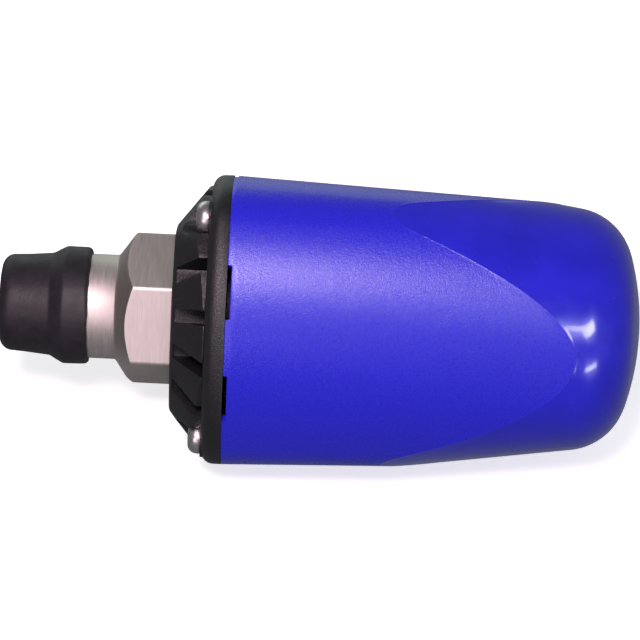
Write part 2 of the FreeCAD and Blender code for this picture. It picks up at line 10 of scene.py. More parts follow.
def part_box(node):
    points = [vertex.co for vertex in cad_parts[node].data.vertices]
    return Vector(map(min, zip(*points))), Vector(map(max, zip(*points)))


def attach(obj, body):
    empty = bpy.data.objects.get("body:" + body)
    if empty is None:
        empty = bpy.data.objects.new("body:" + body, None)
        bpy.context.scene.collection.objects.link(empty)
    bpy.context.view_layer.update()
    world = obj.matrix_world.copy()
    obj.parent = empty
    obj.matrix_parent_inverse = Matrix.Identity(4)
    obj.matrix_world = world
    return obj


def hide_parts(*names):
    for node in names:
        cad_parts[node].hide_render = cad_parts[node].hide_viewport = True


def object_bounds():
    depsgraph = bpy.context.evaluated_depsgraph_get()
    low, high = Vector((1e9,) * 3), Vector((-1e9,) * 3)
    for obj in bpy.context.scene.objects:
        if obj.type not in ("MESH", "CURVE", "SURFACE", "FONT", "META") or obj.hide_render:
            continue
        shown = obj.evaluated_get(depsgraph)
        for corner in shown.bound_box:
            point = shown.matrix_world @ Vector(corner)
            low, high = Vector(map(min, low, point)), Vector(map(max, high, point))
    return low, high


# A pneumatic muffler lying on a pale floor, seen from in front and above. Its axis is X, with the capped
# thread towards -X and the domed bell towards +X. Angles about the axis run from +Y towards +Z.

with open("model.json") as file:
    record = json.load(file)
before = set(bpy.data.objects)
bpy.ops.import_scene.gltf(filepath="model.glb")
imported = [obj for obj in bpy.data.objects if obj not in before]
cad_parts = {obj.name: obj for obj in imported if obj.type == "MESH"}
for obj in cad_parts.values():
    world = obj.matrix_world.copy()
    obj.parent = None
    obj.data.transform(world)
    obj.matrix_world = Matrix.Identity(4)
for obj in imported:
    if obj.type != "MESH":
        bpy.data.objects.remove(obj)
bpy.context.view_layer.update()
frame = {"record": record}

MM = 0.001
FLATS = (30, 150, 270)                 # directions of the body's three flat sides
HEX_CORNERS = range(0, 360, 60)


# ---------------------------------------------------------------- the body's lobed form

FLAT_HEIGHT = -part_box("bell")[0].z     # axis to the middle of a flat side, at the joint
LOBE_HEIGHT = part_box("bell")[1].z      # axis to the tip of a lobe
LOBE_CENTRE = 33.5 * MM                # axis to the centre of a lobe's arc
SWELL = LOBE_HEIGHT - FLAT_HEIGHT
FLAT_OFFSET = SWELL * (2 * LOBE_CENTRE - SWELL) / (LOBE_CENTRE - 2 * SWELL)
DRAFT = math.tan(math.radians(2.09))
WALL = 3 * MM
JOINT_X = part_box("bell")[0].x
CONE_RADIUS = 63.3 * MM
CONE_SLOPE = 0.1445
DOME_CORNER = 23 * MM
CROWN_RADIUS = 97 * MM


def from_flat(angles):
    """Angle in radians from the nearest flat side's middle, for angles in degrees."""
    return np.radians(np.abs((np.asarray(angles) - FLATS[0] + 60) % 120 - 60))


def outline_radius(angles, inset):
    """Axis to the lobed outline, when the outline is moved inwards by an inset."""
    off_flat = from_flat(angles)
    off_lobe = math.radians(60) - off_flat
    flat_radius = FLAT_HEIGHT + FLAT_OFFSET - inset
    lobe_radius = LOBE_HEIGHT - LOBE_CENTRE - inset
    across = FLAT_OFFSET * np.sin(off_flat)
    flat = np.sqrt(flat_radius ** 2 - across ** 2) - FLAT_OFFSET * np.cos(off_flat)
    aside = LOBE_CENTRE * np.sin(off_lobe)
    lobe = np.sqrt(np.maximum(lobe_radius ** 2 - aside ** 2, 0)) + LOBE_CENTRE * np.cos(off_lobe)
    turn = math.atan2(LOBE_CENTRE * math.sin(math.pi / 3), LOBE_CENTRE / 2 + FLAT_OFFSET)
    meet = np.arctan2(flat_radius * math.sin(turn), flat_radius * math.cos(turn) - FLAT_OFFSET)
    return np.where(off_flat <= meet, flat, lobe)


def arc_points(centre, radius, start, stop, count):
    """Points of an arc in the plane of axis and radius, as (along, across) rows."""
    turns = np.linspace(start, stop, count)
    return np.stack([centre[0] + radius * np.cos(turns), centre[1] + radius * np.sin(turns)], axis=1)


def dome_profile(inset):
    """The glossy form's profile from the joint to the tip: a cone, a corner arc and a crown arc."""
    tilt = math.atan(CONE_SLOPE)
    corner = DOME_CORNER - inset
    crown = CROWN_RADIUS - inset
    crown_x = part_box("bell")[1].x - CROWN_RADIUS
    mouth = np.array([JOINT_X, CONE_RADIUS - inset / math.cos(tilt)])
    down = np.array([math.cos(tilt), -math.sin(tilt)])
    inward = np.array([-math.sin(tilt), -math.cos(tilt)])
    track = mouth + inward * corner - (crown_x, 0)
    ahead = -track @ down + math.sqrt((track @ down) ** 2 - track @ track + (crown - corner) ** 2)
    centre = np.array([crown_x, 0]) + track + down * ahead
    cone_end = centre - inward * corner
    cone = np.linspace(mouth, cone_end, 120, endpoint=False)
    lean = math.atan2(centre[1], centre[0] - crown_x)
    corner_arc = arc_points(centre, corner, math.pi / 2 - tilt, lean, 60)
    crown_arc = arc_points((crown_x, 0), crown, lean, 0, 80)[1:]
    return np.concatenate([cone, corner_arc, crown_arc])


def lengths_along(points):
    """Distance run along a line of points, up to each of them."""
    steps = np.linalg.norm(np.diff(points, axis=0), axis=1)
    return np.concatenate([[0], np.cumsum(steps)])


def crease_place(angle, profile, inset):
    """Where the drafted side meets the glossy form at one angle: distance along the profile."""
    sides = outline_radius(angle, inset + (profile[:, 0] - JOINT_X) * DRAFT)
    inside = np.nonzero(profile[:, 1] <= sides)[0][0]
    gap_before = profile[inside - 1, 1] - sides[inside - 1]
    gap_after = profile[inside, 1] - sides[inside]
    share = gap_before / (gap_before - gap_after)
    run = lengths_along(profile)
    return run[inside - 1] + share * (run[inside] - run[inside - 1])


# ---------------------------------------------------------------- mesh helpers

def new_piece(name, verts, faces, body, slot, *nodes):
    """A mesh piece that rides on a body and stands for CAD nodes."""
    mesh = bpy.data.meshes.new(name)
    mesh.from_pydata([tuple(vert) for vert in verts], [], faces)
    piece = bpy.data.objects.new(name, mesh)
    bpy.context.scene.collection.objects.link(piece)
    soften = bmesh.new()
    soften.from_mesh(mesh)
    bmesh.ops.recalc_face_normals(soften, faces=soften.faces)
    soften.to_mesh(mesh)
    soften.free()
    mesh.shade_smooth()
    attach(piece, body)
    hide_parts(*nodes)
    return piece


def ring_faces(rings, columns, closed):
    """Quads between neighbouring rings; a closed stack also joins the last ring to the first."""
    faces = []
    for ring in range(rings if closed else rings - 1):
        above = (ring + 1) % rings * columns
        for column in range(columns):
            beside = (column + 1) % columns
            here = ring * columns
            faces.append((here + column, here + beside, above + beside, above + column))
    return faces


def around(angles, along, radii):
    """One ring of points about the axis. along and radii are numbers or one value for each angle."""
    turns = np.radians(angles)
    along = np.broadcast_to(along, turns.shape)
    return np.stack([along, radii * np.cos(turns), radii * np.sin(turns)], axis=1)


def rounded(corners, steps=5):
    """A line of (along, radius) points from corners (along, radius, rounding), as arcs at the corners."""
    places = [np.array(corner[:2], float) for corner in corners]
    line = []
    for index, corner in enumerate(corners):
        here = places[index]
        rounding = corner[2] if len(corner) == 3 else 0
        if rounding == 0 or index in (0, len(corners) - 1):
            line.append(here)
            continue
        back = places[index - 1] - here
        ahead = places[index + 1] - here
        back /= np.linalg.norm(back)
        ahead /= np.linalg.norm(ahead)
        half = math.acos(np.clip(back @ ahead, -1, 1)) / 2
        middle = (back + ahead) / np.linalg.norm(back + ahead)
        centre = here + middle * rounding / math.sin(half)
        start = here + back * rounding / math.tan(half) - centre
        stop = here + ahead * rounding / math.tan(half) - centre
        for share in np.linspace(0, 1, steps):
            spoke = start * (1 - share) + stop * share
            line.append(centre + spoke * rounding / np.linalg.norm(spoke))
    return np.array(line)


def subdivided(line, step):
    """The same line with points at most one step apart."""
    points = [line[0]]
    for start, stop in zip(line[:-1], line[1:]):
        count = max(1, math.ceil(np.linalg.norm(stop - start) / step))
        points.extend(start + (stop - start) * part / count for part in range(1, count))
        points.append(stop)
    return np.array(points)


def lumps(points, size, depth, seed):
    """Smooth random numbers between 0 and depth at points, for dents and waves of about a size."""
    shift = Vector((seed * 7.3, seed * 3.1, seed * 5.7))
    return np.array([depth * (0.5 + 0.5 * noise.noise(Vector(point) / size + shift)) for point in points])


def piece_from_rings(name, rings, poles, body, slot, *nodes):
    """A closed piece from rings about the axis. poles are the X of both ends on the axis, or None."""
    count, columns = rings.shape[:2]
    verts = list(rings.reshape(-1, 3))
    faces = ring_faces(count, columns, poles is None)
    if poles is not None:
        verts += [(poles[0], 0, 0), (poles[1], 0, 0)]
        last = (count - 1) * columns
        for column in range(columns):
            beside = (column + 1) % columns
            faces.append((len(verts) - 2, beside, column))
            faces.append((len(verts) - 1, last + column, last + beside))
    return new_piece(name, verts, faces, body, slot, *nodes)


def lathe(name, line, angles, body, slot, *nodes, shape=None):
    """A piece turned from (along, radius) points, with an optional function that reshapes its rings.
    A line that starts and ends on the axis gets poles there; any other line closes on itself."""
    on_axis = line[0][1] == 0 and line[-1][1] == 0
    middle = line[1:-1] if on_axis else line
    rings = np.array([around(angles, along, radius) for along, radius in middle])
    if shape:
        rings = shape(rings)
    poles = (line[0][0], line[-1][0]) if on_axis else None
    return piece_from_rings(name, rings, poles, body, slot, *nodes)


def pushed_in(rings, depths, most=0.06):
    """Rings with each point moved towards the axis by a depth, but at most by a share of its radius."""
    radii = np.linalg.norm(rings[:, :, 1:], axis=2)
    depths = np.minimum(depths.reshape(radii.shape), radii * most)
    moved = rings.copy()
    moved[:, :, 1:] *= ((radii - depths) / radii)[:, :, None]
    return moved


def keep_hard_edges(piece, degrees=35):
    piece.data.set_sharp_from_angle(angle=math.radians(degrees))
    return piece


# ---------------------------------------------------------------- materials

def rgb(red, green, blue):
    """A screen colour (0 to 255) as the linear colour that a shader takes."""
    shares = np.array([red, green, blue]) / 255
    linear = np.where(shares <= 0.04045, shares / 12.92, ((shares + 0.055) / 1.055) ** 2.4)
    return (*linear, 1)


class Look:
    """A material with one Principled shader, built from noise in object coordinates (metres)."""

    def __init__(self, name, **sockets):
        self.material = bpy.data.materials.new(name)
        self.material.use_nodes = True
        self.tree = self.material.node_tree
        self.shader = self.tree.nodes["Principled BSDF"]
        self.heights = []
        self.place = self.node("ShaderNodeTexCoord").outputs["Object"]
        for socket, value in sockets.items():
            self.shader.inputs[socket.replace("_", " ")].default_value = value

    def node(self, kind, inputs=None, **settings):
        item = self.tree.nodes.new(kind)
        for name, value in settings.items():
            setattr(item, name, value)
        for socket, value in (inputs or {}).items():
            if isinstance(value, bpy.types.NodeSocket):
                self.tree.links.new(value, item.inputs[socket])
            else:
                item.inputs[socket].default_value = value
        return item

    def link(self, output, socket):
        self.tree.links.new(output, self.shader.inputs[socket])

    def noise(self, size, stretch=(1, 1, 1), detail=3, roughness=0.55, distortion=0):
        """Noise from 0 to 1 whose features are about one size, in metres, times a stretch."""
        scale = tuple(1 / (size * part) for part in stretch)
        mapped = self.node("ShaderNodeMapping", {"Vector": self.place, "Scale": scale})
        texture = self.node("ShaderNodeTexNoise", {
            "Vector": mapped.outputs["Vector"],
            "Scale": 1,
            "Detail": detail,
            "Roughness": roughness,
            "Distortion": distortion,
        })
        return texture.outputs["Fac"]

    def cells(self, size, feature="F1"):
        inputs = {"Vector": self.place, "Scale": 1 / size}
        texture = self.node("ShaderNodeTexVoronoi", inputs, feature=feature)
        return texture.outputs["Distance"]

    def spread(self, fac, low, high, start=0.3, stop=0.7):
        """A number between low and high as fac goes from start to stop."""
        ramp = self.node("ShaderNodeMapRange", {
            "Value": fac,
            "From Min": start,
            "From Max": stop,
            "To Min": low,
            "To Max": high,
        })
        return ramp.outputs["Result"]

    def blend(self, fac, first, second):
        mix = self.node("ShaderNodeMix", data_type="RGBA")
        self.tree.links.new(fac, mix.inputs[0])
        for index, colour in ((6, first), (7, second)):
            if isinstance(colour, bpy.types.NodeSocket):
                self.tree.links.new(colour, mix.inputs[index])
            else:
                mix.inputs[index].default_value = colour
        return mix.outputs[2]

    def colour(self, output):
        self.link(output, "Base Color")
        return self

    def roughness(self, fac, low, high):
        self.link(self.spread(fac, low, high), "Roughness")
        return self

    def bump(self, height, distance, strength=1.0):
        """Adds relief of a depth in metres on top of any relief already there."""
        inputs = {"Height": height, "Distance": distance, "Strength": strength}
        if self.heights:
            inputs["Normal"] = self.heights[-1]
        self.heights.append(self.node("ShaderNodeBump", inputs).outputs["Normal"])
        self.link(self.heights[-1], "Normal")
        return self

    def turned(self):
        """Highlights stretched along the circles that a lathe or brush leaves about X."""
        tangent = self.node("ShaderNodeTangent", direction_type="RADIAL", axis="X")
        self.link(tangent.outputs["Tangent"], "Tangent")
        return self


BLUE = rgb(34, 32, 202)
BLUE_DEEP = rgb(28, 26, 186)


def gloss_blue():
    look = Look("bell_gloss", IOR=1.42, Coat_Weight=0.45, Coat_Roughness=0.09)
    look.colour(look.blend(look.spread(look.noise(14 * MM), 0, 1), BLUE, BLUE_DEEP))
    look.roughness(look.noise(5 * MM, detail=5), 0.2, 0.28)
    return look.bump(look.noise(2.2 * MM, detail=1), 0.012 * MM, 0.5).material


def matte_blue():
    look = Look("bell_matte", IOR=1.5)
    grain = look.noise(0.42 * MM, detail=2)
    speckle = look.blend(look.spread(grain, 0, 1, 0.35, 0.68), BLUE_DEEP, rgb(40, 38, 208))
    look.colour(look.blend(look.spread(look.noise(20 * MM), 0, 0.35), speckle, BLUE))
    look.roughness(look.noise(0.8 * MM), 0.25, 0.32)
    return look.bump(grain, 0.08 * MM).bump(look.cells(1.1 * MM), 0.02 * MM).material


def black_plastic():
    look = Look("collar_plastic", IOR=1.5)
    grain = look.noise(0.55 * MM, detail=2)
    look.colour(look.blend(look.spread(look.noise(9 * MM), 0, 1), rgb(12, 11, 14), rgb(21, 19, 23)))
    look.roughness(grain, 0.38, 0.56)
    return look.bump(grain, 0.18 * MM).bump(look.noise(4 * MM, detail=1), 0.05 * MM).material


def soft_vinyl():
    look = Look("vinyl", IOR=1.42)
    dull = look.noise(6 * MM, detail=5, roughness=0.65)
    look.colour(look.blend(look.spread(dull, 0, 1, 0.35, 0.65), rgb(24, 20, 26), rgb(32, 28, 34)))
    look.roughness(dull, 0.46, 0.6)
    look.bump(look.noise(3 * MM, detail=2), 0.12 * MM)
    return look.bump(look.noise(0.4 * MM, detail=2), 0.04 * MM, 0.7).material


def brushed_steel():
    look = Look("steel", Metallic=1, Anisotropic=0.4)
    lines = look.noise(0.13 * MM, stretch=(1, 60, 60), detail=3, roughness=0.7)
    wide = look.noise(1.4 * MM, stretch=(1, 18, 18), detail=2)
    shade = look.blend(look.spread(lines, 0, 1, 0.3, 0.7), rgb(170, 163, 158), rgb(200, 193, 188))
    look.colour(look.blend(look.spread(wide, 0, 0.5, 0.42, 0.65), shade, rgb(180, 173, 168)))
    look.roughness(lines, 0.42, 0.56)
    return look.turned().bump(lines, 0.008 * MM).bump(wide, 0.015 * MM, 0.6).material


def plated_steel():
    look = Look("plated", Metallic=1)
    smudge = look.noise(1.5 * MM, detail=4)
    look.colour(look.blend(look.spread(smudge, 0, 1), rgb(214, 206, 206), rgb(176, 168, 170)))
    look.roughness(smudge, 0.26, 0.4)
    return look.bump(look.noise(0.7 * MM), 0.03 * MM, 0.5).material


def brass():
    look = Look("brass", Metallic=1, Anisotropic=0.3)
    lines = look.noise(0.2 * MM, stretch=(1, 12, 12))
    look.colour(look.blend(look.spread(lines, 0, 1), rgb(196, 158, 84), rgb(226, 192, 118)))
    look.roughness(lines, 0.22, 0.38)
    return look.bump(lines, 0.02 * MM).material


def rubber():
    look = Look("rubber", IOR=1.52)
    bloom = look.noise(2 * MM, detail=5)
    look.colour(look.blend(look.spread(bloom, 0, 1), rgb(22, 22, 23), rgb(40, 40, 42)))
    look.roughness(bloom, 0.5, 0.7)
    return look.bump(look.noise(0.3 * MM), 0.03 * MM).material


def sheet_steel():
    look = Look("sheet", Metallic=1, Anisotropic=0.3)
    spangle = look.cells(3 * MM)
    lines = look.noise(0.3 * MM, stretch=(40, 1, 1))
    look.colour(look.blend(look.spread(spangle, 0, 1, 0, 0.8), rgb(168, 170, 174), rgb(204, 206, 208)))
    look.roughness(lines, 0.28, 0.46)
    return look.bump(lines, 0.015 * MM).bump(look.noise(6 * MM, detail=1), 0.05 * MM).material


def turned_aluminium():
    look = Look("aluminium", Metallic=1, Anisotropic=0.5)
    lines = look.noise(0.18 * MM, stretch=(1, 50, 50))
    look.colour(look.blend(look.spread(lines, 0, 1), rgb(196, 198, 202), rgb(226, 228, 230)))
    look.roughness(lines, 0.24, 0.4)
    return look.turned().bump(lines, 0.02 * MM).material


def anodised():
    look = Look("anodised", Metallic=1)
    haze = look.noise(2 * MM, detail=4)
    look.colour(look.blend(look.spread(haze, 0, 1), rgb(38, 38, 41), rgb(56, 56, 60)))
    look.roughness(haze, 0.42, 0.6)
    return look.bump(look.noise(0.3 * MM), 0.01 * MM).material


def felt():
    look = Look("felt", Sheen_Weight=0.6, Sheen_Roughness=0.4)
    fibre = look.noise(0.5 * MM, stretch=(4, 1, 1), detail=6, roughness=0.7, distortion=1.5)
    clump = look.noise(5 * MM, detail=4)
    shade = look.blend(look.spread(fibre, 0, 1), rgb(150, 146, 136), rgb(214, 210, 198))
    look.colour(look.blend(look.spread(clump, 0, 0.6), shade, rgb(176, 168, 150)))
    look.roughness(fibre, 0.85, 0.98)
    return look.bump(fibre, 0.35 * MM).bump(clump, 0.6 * MM).material


def open_foam():
    look = Look("foam")
    cell = look.cells(1.1 * MM)
    wall = look.spread(cell, 1, 0, 0.15, 0.6)
    look.colour(look.blend(wall, rgb(52, 52, 56), rgb(24, 24, 27)))
    look.roughness(look.noise(3 * MM), 0.82, 0.95)
    return look.bump(cell, -0.5 * MM).bump(look.noise(6 * MM), 0.5 * MM).material


def pale_floor():
    look = Look("floor_paint", Roughness=0.9, Emission_Color=(1, 1, 1, 1), Emission_Strength=0.6)
    shade = look.spread(look.noise(0.3), 0, 1)
    return look.colour(look.blend(shade, rgb(250, 250, 250), rgb(247, 247, 248))).material


LOOKS = {
    "bell_gloss": gloss_blue(),
    "bell_matte": matte_blue(),
    "collar": black_plastic(),
    "vinyl": soft_vinyl(),
    "steel": brushed_steel(),
    "plated": plated_steel(),
    "brass": brass(),
    "rubber": rubber(),
    "sheet": sheet_steel(),
    "aluminium": turned_aluminium(),
    "anodised": anodised(),
    "felt": felt(),
    "foam": open_foam(),
    "floor": pale_floor(),
}


# ---------------------------------------------------------------- bell

NOTCH_DEPTH = 1.5 * MM
NOTCH_HALF_TURN = 10.9                 # degrees
MOUTH_EDGE = 0.35 * MM                 # how far the mouth's edge is eased
NOTCH_CENTRES = [flat + side for flat in FLATS for side in (-23, 23)]
CREASE_HALF = 0.3 * MM                 # half the width of the rounded crease
CREASE_LIP = 0.035 * MM                # how far the crease stands proud


def bell_angles():
    """Even columns, and a close pair at both sides of every notch so that its walls are square."""
    sides = [centre + turn for centre in NOTCH_CENTRES for turn in (-NOTCH_HALF_TURN, NOTCH_HALF_TURN)]
    pairs = [side + gap for side in sides for gap in (-0.03, 0.03)]
    return np.unique(np.concatenate([np.arange(0, 360, 1.0), np.array(pairs) % 360]))


def mouth_place(angle):
    """Where the bell's wall starts at one angle: at the joint, or further in at a notch."""
    off = min(abs((angle - centre + 180) % 360 - 180) for centre in NOTCH_CENTRES)
    return JOINT_X + (NOTCH_DEPTH if off < NOTCH_HALF_TURN else 0)


def bell_column(angle, inset, side_rows, dome_rows):
    """Points of the bell's surface at one angle: the drafted side, the crease, then the glossy form."""
    profile = dome_profile(inset)
    run = lengths_along(profile)
    crease = crease_place(angle, profile, inset)
    crease_x, crease_radius = [np.interp(crease, run, profile[:, axis]) for axis in (0, 1)]
    start = mouth_place(angle)
    side_x = np.linspace(start + MOUTH_EDGE, crease_x - CREASE_HALF, side_rows)
    side_x = np.concatenate([[start, start + 0.1 * MM], side_x])
    side_radius = outline_radius(angle, inset + (side_x - JOINT_X) * DRAFT)
    side_radius[0] -= MOUTH_EDGE
    side_radius[1] -= 0.1 * MM
    dome = np.linspace(crease + CREASE_HALF, run[-1], dome_rows + 1)[:-1]
    along = np.concatenate([side_x, [crease_x], np.interp(dome, run, profile[:, 0])])
    dome_radius = np.interp(dome, run, profile[:, 1])
    radii = np.concatenate([side_radius, [crease_radius + CREASE_LIP], dome_radius])
    turn = math.radians(angle)
    return np.stack([along, radii * math.cos(turn), radii * math.sin(turn)], axis=1)


def make_bell():
    """The moulded bell, inside and out, with three drafted faces that run into the glossy dome."""
    angles = bell_angles()
    side_rows, dome_rows = 46, 56
    outside = np.array([bell_column(angle, 0, side_rows, dome_rows) for angle in angles])
    inside = np.array([bell_column(angle, WALL, 16, 20) for angle in angles])
    rings = np.concatenate([inside.transpose(1, 0, 2)[::-1], outside.transpose(1, 0, 2)])
    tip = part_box("bell")[1].x
    bell = piece_from_rings("bell_shell", rings, (tip - WALL, tip), "muffler", "bell_blue", "bell")
    sides = inside.shape[1] + 2 + side_rows
    for polygon in bell.data.polygons:
        glossy = min(polygon.vertices) // len(angles) >= sides or len(polygon.vertices) == 3
        polygon.material_index = 1 if glossy else 0
    for look in ("bell_matte", "bell_gloss"):
        bell.data.materials.append(LOOKS[look])
    keep_hard_edges(bell, 50)


BOSS_LENGTH = 17 * MM
BOSS_MOUTH = 6.3 * MM                  # radius at the joint
BOSS_END = 6.1 * MM                    # radius at the far end


def make_insert_bosses():
    """Bosses inside the bell that hold the brass inserts."""
    for number in (1, 2, 3):
        low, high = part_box(f"insert_{number}")
        middle = (low + high) / 2
        hole = (high.y - low.y) / 2 + 0.03 * MM
        line = rounded([
            (JOINT_X, hole),
            (JOINT_X, BOSS_MOUTH, 0.4 * MM),
            (JOINT_X + BOSS_LENGTH, BOSS_END, 0.8 * MM),
            (JOINT_X + BOSS_LENGTH, hole),
        ])
        columns = np.arange(0, 360, 7.5)
        boss = lathe(f"insert_boss_{number}", line, columns, "muffler", "bell_blue")
        for vert in boss.data.vertices:
            vert.co.y += middle.y
            vert.co.z += middle.z
        keep_hard_edges(boss).data.materials.append(LOOKS["bell_matte"])


# ---------------------------------------------------------------- threaded fitting

THREAD_PITCH = 2.309 * MM
THREAD_DEPTH = 1.479 * MM
THREAD_RADIUS = 16.62 * MM
LEAD_IN = 1.4 * MM                     # chamfer at the thread's tip
RELIEF = 2.4 * MM                      # plain undercut between thread and shoulder
NECK_RADIUS = 19.3 * MM
NECK_LENGTH = 19.9 * MM                # shoulder to the foot of the cone
CONE_LENGTH = 6.7 * MM                 # foot of the cone to the hexagon's corners
HEX_CORNER = 28.87 * MM                # axis to a corner
PORT_GROOVE = (17.3 * MM, 18.7 * MM)   # inside and outside radius
PORT_GROOVE_DEPTH = 1.3 * MM
COLLAR_GROOVE = (19.2 * MM, 21.2 * MM)
COLLAR_GROOVE_DEPTH = 1.85 * MM
SPIGOT_RADIUS = 18 * MM
SOCKET_RADIUS = 13.95 * MM             # the wider end of the bore, which takes the diffuser
SOCKET_DEPTH = 6 * MM
BORE_RADIUS = 12.5 * MM


def hex_radius(angles):
    """Axis to a hexagon's side, with its corners eased."""
    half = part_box("fitting")[1].z
    corner = half / math.cos(math.pi / 6)
    side = half / np.cos(np.radians(np.asarray(angles) % 60 - 30))
    return np.minimum(side, corner - 0.2 * MM)


def thread_radius(angles, along, start):
    """A rounded V thread: a helix of crests that ends in a chamfer outside and a relief inside."""
    phase = 2 * np.pi * (along / THREAD_PITCH - np.asarray(angles) / 360)
    wave = np.arcsin(0.93 * np.sin(phase)) / math.asin(0.93)
    radii = THREAD_RADIUS - THREAD_DEPTH / 2 * (1 - wave)
    radii = np.minimum(radii, THREAD_RADIUS - LEAD_IN + (along - start))
    return np.minimum(radii, THREAD_RADIUS - THREAD_DEPTH * 1.05) if along > -RELIEF else radii


def shoulder_and_neck():
    """Points from the thread's root over the shoulder, its seal groove and the neck."""
    groove_inside, groove_outside = PORT_GROOVE
    return rounded([
        (0, groove_inside),
        (PORT_GROOVE_DEPTH, groove_inside),
        (PORT_GROOVE_DEPTH, groove_outside),
        (0, groove_outside),
        (0, NECK_RADIUS, 0.5 * MM),
        (8 * MM, NECK_RADIUS),
        (NECK_LENGTH - 0.4 * MM, NECK_RADIUS),
        (NECK_LENGTH, NECK_RADIUS + 0.15 * MM),
    ])


def spigot_and_bore(start, hex_end, spigot_end):
    """Points from the hexagon's back face over the spigot and back through the bore to the tip."""
    groove_inside, groove_outside = COLLAR_GROOVE
    return [
        (hex_end, groove_outside),
        (hex_end - COLLAR_GROOVE_DEPTH, groove_outside),
        (hex_end - COLLAR_GROOVE_DEPTH, groove_inside),
        (hex_end, groove_inside),
        (hex_end, SPIGOT_RADIUS),
        (spigot_end - 0.6 * MM, SPIGOT_RADIUS),
        (spigot_end, SPIGOT_RADIUS - 0.6 * MM),
        (spigot_end, SOCKET_RADIUS),
        (spigot_end - SOCKET_DEPTH, SOCKET_RADIUS),
        (spigot_end - SOCKET_DEPTH, BORE_RADIUS),
        (start + 0.7 * MM, BORE_RADIUS),
        (start, BORE_RADIUS + 0.7 * MM),
    ]


def cone_and_hexagon(angles, hex_end):
    """Rings of the cone, which cuts into the hexagon's corners, and of the hexagon."""
    slope = (HEX_CORNER - NECK_RADIUS) / CONE_LENGTH
    sides = hex_radius(angles)
    meet = NECK_LENGTH + (sides - NECK_RADIUS) / slope
    rings = []
    for share in (0.1, 0.5, 0.9, 0.985):
        along = NECK_LENGTH + (meet - NECK_LENGTH) * share
        rings.append(around(angles, along, NECK_RADIUS + (along - NECK_LENGTH) * slope))
    rings.append(around(angles, meet + 0.02 * MM, sides - 0.03 * MM))
    for share in (0.015, 0.1, 0.4, 0.7, 0.985):
        rings.append(around(angles, meet + (hex_end - meet) * share, sides))
    rings.append(around(angles, hex_end, sides - 0.25 * MM))
    return rings


def make_fitting():
    """Thread, neck, cone and hexagon as one skin, with the bore and both seal grooves."""
    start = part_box("fitting")[0].x
    spigot_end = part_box("fitting")[1].x
    hex_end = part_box("collar")[0].x
    near_corners = [corner + gap for corner in HEX_CORNERS for gap in (-0.7, -0.35, 0.35, 0.7)]
    angles = np.unique(np.concatenate([np.arange(0, 360, 2.0), np.array(near_corners) % 360]))

    thread = np.linspace(start, -0.05 * MM, 80)
    rings = [around(angles, along, thread_radius(angles, along, start)) for along in thread]
    rings += [around(angles, along, radius) for along, radius in shoulder_and_neck()]
    rings += cone_and_hexagon(angles, hex_end)
    inner = spigot_and_bore(start, hex_end, spigot_end)
    rings += [around(angles, along, radius) for along, radius in inner]
    fitting = piece_from_rings("fitting_body", np.array(rings), None, "muffler", "fitting_steel", "fitting")
    keep_hard_edges(fitting)
    fitting.data.materials.append(LOOKS["steel"])


# ---------------------------------------------------------------- protective cap

CAP_BORE = 17.25 * MM                  # inside radius over the thread
CAP_LIP = 19.5 * MM                    # inside radius of the lip
CAP_STEP = 0.3 * MM                    # where the cup widens into the lip
CAP_WALL = 2 * MM                      # thickness of the closed end


def make_cap():
    """The moulded cap: a snug cup over the thread, and a wider lip with an uneven trimmed edge."""
    low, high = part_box("thread_cap")
    end, mouth, bulge = low.x, high.x, high.z
    outside = subdivided(rounded([
        (end, 0),
        (end, CAP_BORE + 0.4 * MM, 4.5 * MM),
        (-14 * MM, CAP_BORE + 0.95 * MM, 6 * MM),
        (-4.5 * MM, CAP_BORE + 1.8 * MM, 3 * MM),
        (0.5 * MM, bulge, 3 * MM),
        (mouth, bulge, 1.6 * MM),
        (mouth, CAP_LIP + 0.5 * MM),
    ], 9), 0.9 * MM)
    inside = subdivided(rounded([
        (mouth, CAP_LIP),
        (CAP_STEP, CAP_LIP, 0.3 * MM),
        (CAP_STEP, CAP_BORE, 0.3 * MM),
        (-16 * MM, CAP_BORE),
        (-16.8 * MM, CAP_BORE - 1.4 * MM),
        (end + CAP_WALL, CAP_BORE - 1.8 * MM, 3 * MM),
        (end + CAP_WALL, 0),
    ]), 2 * MM)
    line = np.concatenate([outside, inside])
    skin = len(outside) - 1
    angles = np.arange(0, 360, 2.0)

    def uneven(rings):
        """Soft waves all over, lumps on the lip, and a mouth that isn't trimmed quite straight."""
        flat = rings.reshape(-1, 3)
        on_skin = (np.arange(len(rings)) < skin)[:, None]
        lip = np.clip((rings[:, :, 0] - 1 * MM) / (4 * MM), 0, 1)
        edge = np.clip((rings[:, :, 0] - 6 * MM) / (mouth - 6 * MM), 0, 1)
        waves = lumps(flat, 13 * MM, 0.25 * MM, 1).reshape(lip.shape)
        knobs = lumps(flat, 4.5 * MM, 0.3 * MM, 2).reshape(lip.shape) * lip
        moved = pushed_in(rings, np.where(on_skin, waves + knobs * (0.4 + 0.6 * edge), waves * 0.2))
        moved[:, :, 0] -= lumps(flat, 5 * MM, 0.8 * MM, 3).reshape(lip.shape) * edge
        return moved

    cap = lathe("thread_cap_skin", line, angles, "cap", "cap_vinyl", "thread_cap", shape=uneven)
    keep_hard_edges(cap, 60).data.materials.append(LOOKS["vinyl"])


# ---------------------------------------------------------------- absorbers

def frame_slot(node):
    """The record's material slot of a CAD node."""
    return next(part["material_slot"] for part in frame["record"]["subparts"] if part["node"] == node)


def absorber_line(low, high, inner, outer, ease):
    return subdivided(rounded([
        (low, inner, ease),
        (high, inner, ease),
        (high, outer, ease),
        (low, outer, ease),
        (low, inner, ease),
    ]), 3 * MM)


